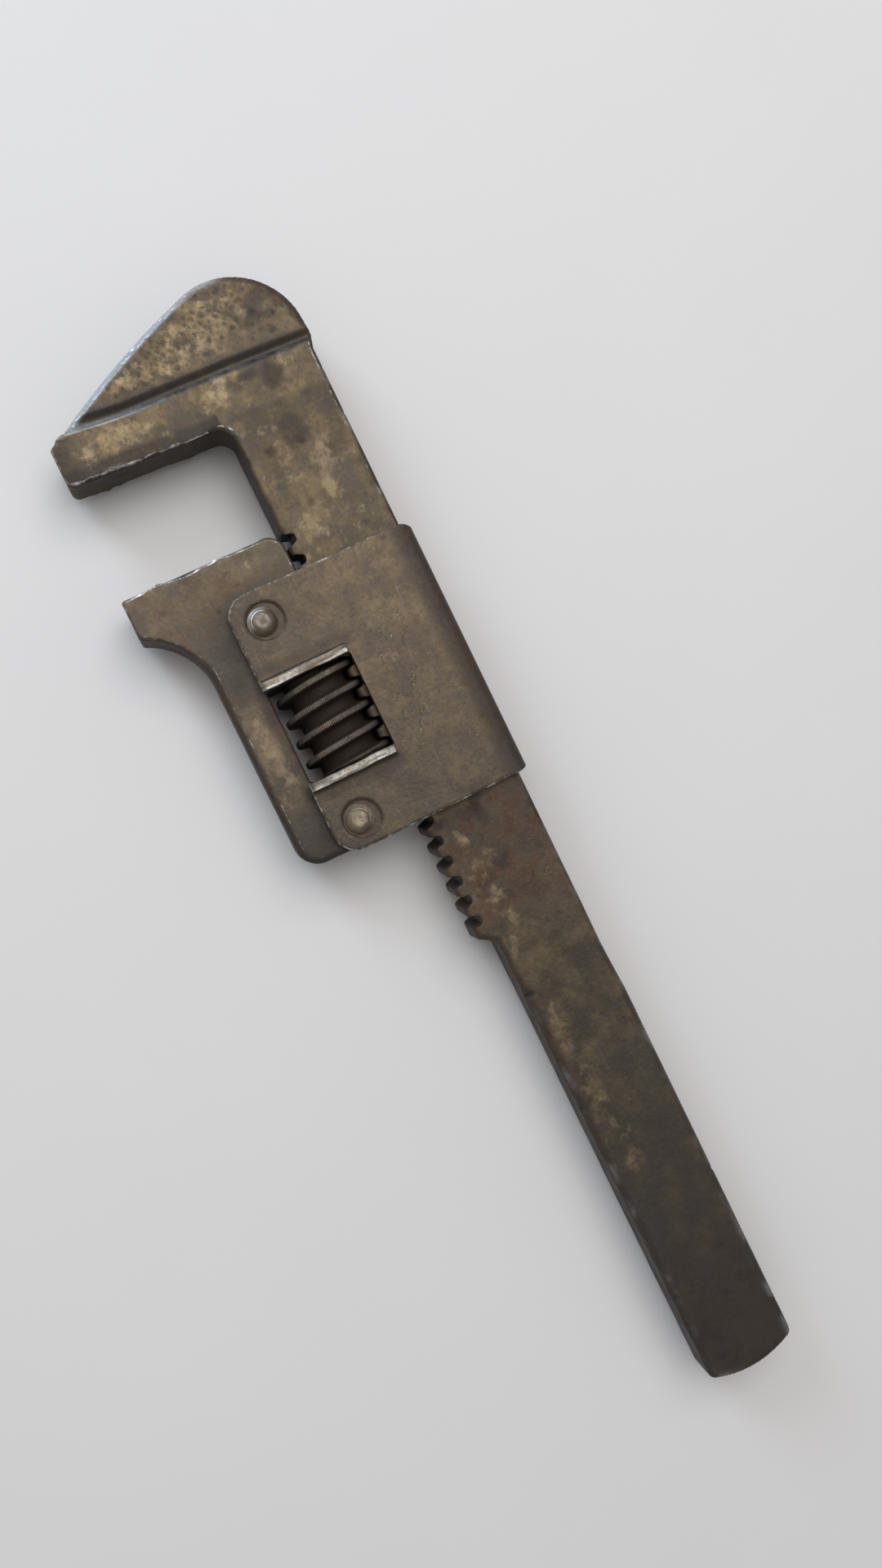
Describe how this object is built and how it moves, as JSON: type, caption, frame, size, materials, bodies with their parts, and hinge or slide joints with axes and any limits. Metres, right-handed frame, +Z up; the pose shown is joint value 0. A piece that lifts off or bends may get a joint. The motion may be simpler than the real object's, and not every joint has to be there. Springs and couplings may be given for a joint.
{
  "type": "adjustable wrench",
  "caption": "Sleeve-type adjustable wrench: straight bar handle with a fixed jaw and a toothed edge, and a sliding jaw in a folded steel sleeve moved by a knurled worm.",
  "frame": {"origin": "centre of the bounding box at its lowest point, with the wrench lying flat", "axes": "+X along the bar toward the head, +Y toward the open side of the jaws, +Z up out of the flat face"},
  "size_m": [0.2342, 0.0556, 0.0167],
  "materials": {
    "forged_bar": "aged brown patina with lighter worn patches",
    "forged_jaw": "aged brown patina",
    "sleeve_sheet": "aged, finely scratched, bright at worn edges",
    "rivet_steel": "aged, polished on the domes",
    "worm_steel": "dark and oily, worn bright on the knurled crests",
    "pin_steel": "plain turned"
  },
  "bodies": {
    "bar": {"fixed_jaw_bar": "forged_bar"},
    "jaw": {"sliding_jaw": "forged_jaw", "sleeve": "sleeve_sheet", "upper_rivet": "rivet_steel", "lower_rivet": "rivet_steel", "worm_pin": "pin_steel"},
    "worm": {"adjusting_worm": "worm_steel"}
  },
  "joints": [
    {"name": "jaw_slide", "type": "slide", "parent": "bar", "child": "jaw", "axis": [1, 0, 0], "range_m": [-0.036, 0.0215]},
    {"name": "worm_spin", "type": "hinge", "parent": "jaw", "child": "worm", "pos_m": [0.03245, 0.00175, 0.00835], "axis": [1, 0, 0], "range_deg": [-3062, 1829]}
  ],
  "couplings": [
    {"joint": "worm_spin", "follows": "jaw_slide", "rad_per_m": 1484.2}
  ]
}
